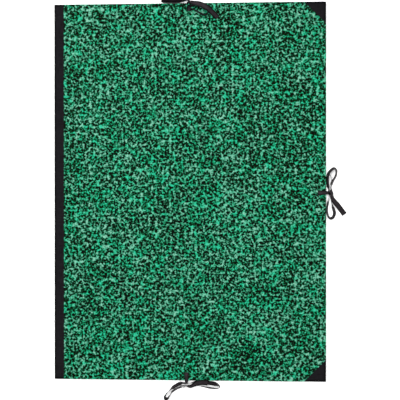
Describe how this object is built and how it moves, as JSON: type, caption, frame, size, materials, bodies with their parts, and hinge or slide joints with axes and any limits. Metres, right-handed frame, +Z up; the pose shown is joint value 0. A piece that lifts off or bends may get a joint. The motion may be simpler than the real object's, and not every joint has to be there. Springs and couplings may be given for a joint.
{
  "type": "art portfolio folder",
  "caption": "Flat drawing portfolio: two mottled paper covers hinged on a black cloth spine, with cloth corners and ribbons tied in bows at the three open edges.",
  "frame": {"origin": "middle of the back cover's underside, on the surface that the closed folder lies on", "axes": "+X from the spine to the fore-edge, +Y to the head, +Z up through the closed covers"},
  "size_m": [0.5593, 0.7951, 0.0201],
  "materials": {
    "greyboard": "raw grey board",
    "mottled_paper": "green and black mottled cover paper, slight sheen",
    "book_cloth": "black book cloth",
    "lining_paper": "matt pale paper",
    "ribbon": "black woven ribbon"
  },
  "bodies": {
    "back_cover": {"back_board": "greyboard", "back_paper": "mottled_paper", "back_head_corner_cloth": "book_cloth", "back_tail_corner_cloth": "book_cloth", "back_lining": "lining_paper", "back_head_ribbon": "ribbon", "back_side_ribbon": "ribbon", "back_tail_ribbon": "ribbon", "spine_cloth": "book_cloth"},
    "front_cover": {"front_board": "greyboard", "front_paper": "mottled_paper", "front_head_corner_cloth": "book_cloth", "front_tail_corner_cloth": "book_cloth", "front_lining": "lining_paper", "front_head_ribbon": "ribbon", "front_side_ribbon": "ribbon", "front_tail_ribbon": "ribbon"}
  },
  "joints": [
    {"name": "cover_hinge", "type": "hinge", "parent": "back_cover", "child": "front_cover", "pos_m": [-0.26, 0, 0.00365], "axis": [0, -1, 0], "range_deg": [0, 180], "deforming": ["spine_cloth"]}
  ]
}
